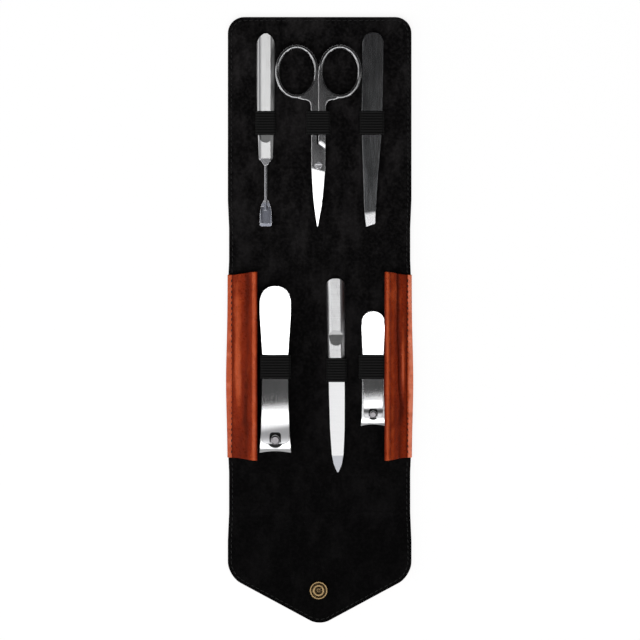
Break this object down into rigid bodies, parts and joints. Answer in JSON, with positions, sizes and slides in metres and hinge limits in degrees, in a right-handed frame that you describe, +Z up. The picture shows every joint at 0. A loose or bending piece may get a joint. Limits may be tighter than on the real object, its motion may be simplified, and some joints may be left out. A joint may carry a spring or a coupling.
{
  "type": "manicure set case",
  "caption": "Folding leather manicure case with pointed snap flap, side gussets, elastic loops and steel nail tools with working joints.",
  "frame": {"origin": "centre of the open case footprint at the lowest point it rests on", "axes": "+Y along the open case towards the top edge of the front panel, +X across it, +Z up out of the lining"},
  "size_m": [0.09, 0.297, 0.0141],
  "materials": {
    "antique_brass": "dark antique brass",
    "board": "grey brown stiffening board",
    "brushed_steel": "fine brushed stainless steel",
    "dark_steel": "dark brushed stainless steel",
    "elastic": "black ribbed elastic",
    "gusset_leather": "smooth cognac leather with a soft shine",
    "outer_leather": "smooth cognac leather, semi gloss",
    "polished_steel": "polished stainless steel",
    "suede": "black suede nap"
  },
  "bodies": {
    "back_panel": {"back_leather": "outer_leather", "back_board": "board", "back_lining": "suede", "gusset_seam_left": "gusset_leather", "gusset_seam_right": "gusset_leather", "large_clipper_loop": "elastic", "file_loop": "elastic", "small_clipper_loop": "elastic"},
    "upper_spine": {"upper_spine_leather": "outer_leather", "upper_spine_lining": "suede"},
    "front_panel": {"front_leather": "outer_leather", "front_board": "board", "front_lining": "suede", "pusher_loop": "elastic", "scissors_loop": "elastic", "tweezers_loop": "elastic", "snap_stud": "antique_brass", "snap_post": "antique_brass"},
    "lower_spine": {"lower_spine_leather": "outer_leather", "lower_spine_lining": "suede"},
    "closing_flap": {"flap_leather": "outer_leather", "flap_board": "board", "flap_lining": "suede", "snap_cap": "antique_brass", "snap_socket": "antique_brass"},
    "gusset_left": {"gusset_wall_left": "gusset_leather"},
    "gusset_right": {"gusset_wall_right": "gusset_leather"},
    "cuticle_pusher": {"cuticle_pusher": "brushed_steel"},
    "nail_file": {"nail_file": "brushed_steel"},
    "tweezers_lower_half": {"tweezers_lower_arm": "dark_steel", "tweezers_weld": "dark_steel"},
    "tweezers_upper_half": {"tweezers_upper_arm": "dark_steel"},
    "scissors_fixed_half": {"scissors_fixed_blade": "brushed_steel", "scissors_screw": "brushed_steel"},
    "scissors_moving_half": {"scissors_moving_blade": "brushed_steel"},
    "large_clipper_lower_half": {"large_clipper_lower_arm": "polished_steel", "large_clipper_rivet": "brushed_steel"},
    "large_clipper_upper_half": {"large_clipper_upper_arm": "polished_steel"},
    "large_clipper_pin_body": {"large_clipper_pin": "brushed_steel"},
    "large_clipper_lever_body": {"large_clipper_lever": "polished_steel"},
    "small_clipper_lower_half": {"small_clipper_lower_arm": "polished_steel", "small_clipper_rivet": "brushed_steel"},
    "small_clipper_upper_half": {"small_clipper_upper_arm": "polished_steel"},
    "small_clipper_pin_body": {"small_clipper_pin": "brushed_steel"},
    "small_clipper_lever_body": {"small_clipper_lever": "polished_steel"}
  },
  "joints": [
    {"name": "upper_fold_a", "type": "hinge", "parent": "back_panel", "child": "upper_spine", "pos_m": [0, 0.02935, 0.0037], "axis": [1, 0, 0], "range_deg": [0, 90]},
    {"name": "upper_fold_b", "type": "hinge", "parent": "upper_spine", "child": "front_panel", "pos_m": [0, 0.04485, 0.0037], "axis": [1, 0, 0], "range_deg": [0, 90]},
    {"name": "lower_fold_a", "type": "hinge", "parent": "back_panel", "child": "lower_spine", "pos_m": [0, -0.0748, 0.0037], "axis": [-1, 0, 0], "range_deg": [0, 90]},
    {"name": "lower_fold_b", "type": "hinge", "parent": "lower_spine", "child": "closing_flap", "pos_m": [0, -0.0944, 0.0037], "axis": [-1, 0, 0], "range_deg": [0, 90]},
    {"name": "gusset_left_fold", "type": "hinge", "parent": "back_panel", "child": "gusset_left", "pos_m": [-0.0424, 0, 0.00445], "axis": [0, -1, 0], "range_deg": [0, 57]},
    {"name": "gusset_right_fold", "type": "hinge", "parent": "back_panel", "child": "gusset_right", "pos_m": [0.0424, 0, 0.00445], "axis": [0, 1, 0], "range_deg": [0, 50]},
    {"name": "pusher_slide", "type": "slide", "parent": "front_panel", "child": "cuticle_pusher", "axis": [0, -1, 0], "range_m": [-0.058, 0], "deforming": ["pusher_loop"]},
    {"name": "scissors_slide", "type": "slide", "parent": "front_panel", "child": "scissors_fixed_half", "axis": [0, -1, 0], "range_m": [-0.058, 0], "deforming": ["scissors_loop"]},
    {"name": "scissors_pivot", "type": "hinge", "parent": "scissors_fixed_half", "child": "scissors_moving_half", "pos_m": [-0.0006, 0.0757, 0.00695], "axis": [0, 0, -1], "range_deg": [-40, 0]},
    {"name": "tweezers_slide", "type": "slide", "parent": "front_panel", "child": "tweezers_lower_half", "axis": [0, -1, 0], "range_m": [-0.058, 0], "deforming": ["tweezers_loop"]},
    {"name": "tweezers_squeeze", "type": "hinge", "parent": "tweezers_lower_half", "child": "tweezers_upper_half", "pos_m": [0.0262, 0.1348, 0.00495], "axis": [1, 0, 0], "range_deg": [-3, 0.4], "stiffness_Nm_per_rad": 0.5},
    {"name": "file_slide", "type": "slide", "parent": "back_panel", "child": "nail_file", "axis": [0, 1, 0], "range_m": [-0.051, 0], "deforming": ["file_loop"]},
    {"name": "large_clipper_slide", "type": "slide", "parent": "back_panel", "child": "large_clipper_lower_half", "axis": [0, 1, 0], "range_m": [-0.05, 0], "deforming": ["large_clipper_loop"]},
    {"name": "large_clipper_squeeze", "type": "hinge", "parent": "large_clipper_lower_half", "child": "large_clipper_upper_half", "pos_m": [-0.0217, 0.0116, 0.00535], "axis": [1, 0, 0], "range_deg": [0, 1.1], "stiffness_Nm_per_rad": 8},
    {"name": "large_clipper_pin_swivel", "type": "hinge", "parent": "large_clipper_lower_half", "child": "large_clipper_pin_body", "pos_m": [-0.0217, -0.05876, 0.0038], "axis": [0, 0, 1], "range_deg": [-180, 0]},
    {"name": "large_clipper_lever_flip", "type": "hinge", "parent": "large_clipper_pin_body", "child": "large_clipper_lever_body", "pos_m": [-0.0217, -0.06004, 0.01236], "axis": [-1, 0, 0], "range_deg": [-150, 0]},
    {"name": "small_clipper_slide", "type": "slide", "parent": "back_panel", "child": "small_clipper_lower_half", "axis": [0, 1, 0], "range_m": [-0.036, 0], "deforming": ["small_clipper_loop"]},
    {"name": "small_clipper_squeeze", "type": "hinge", "parent": "small_clipper_lower_half", "child": "small_clipper_upper_half", "pos_m": [0.0262, 0.00056, 0.00495], "axis": [1, 0, 0], "range_deg": [0, 1.45], "stiffness_Nm_per_rad": 4},
    {"name": "small_clipper_pin_swivel", "type": "hinge", "parent": "small_clipper_lower_half", "child": "small_clipper_pin_body", "pos_m": [0.0262, -0.04622, 0.0038], "axis": [0, 0, -1], "range_deg": [-180, 0]},
    {"name": "small_clipper_lever_flip", "type": "hinge", "parent": "small_clipper_pin_body", "child": "small_clipper_lever_body", "pos_m": [0.0262, -0.04716, 0.01024], "axis": [-1, 0, 0], "range_deg": [-150, 0]}
  ],
  "couplings": [
    {"joint": "upper_fold_b", "follows": "upper_fold_a", "ratio": 1},
    {"joint": "lower_fold_b", "follows": "lower_fold_a", "ratio": 1},
    {"joint": "large_clipper_pin_swivel", "follows": "large_clipper_lever_flip", "ratio": 1.2},
    {"joint": "small_clipper_pin_swivel", "follows": "small_clipper_lever_flip", "ratio": 1.2}
  ]
}
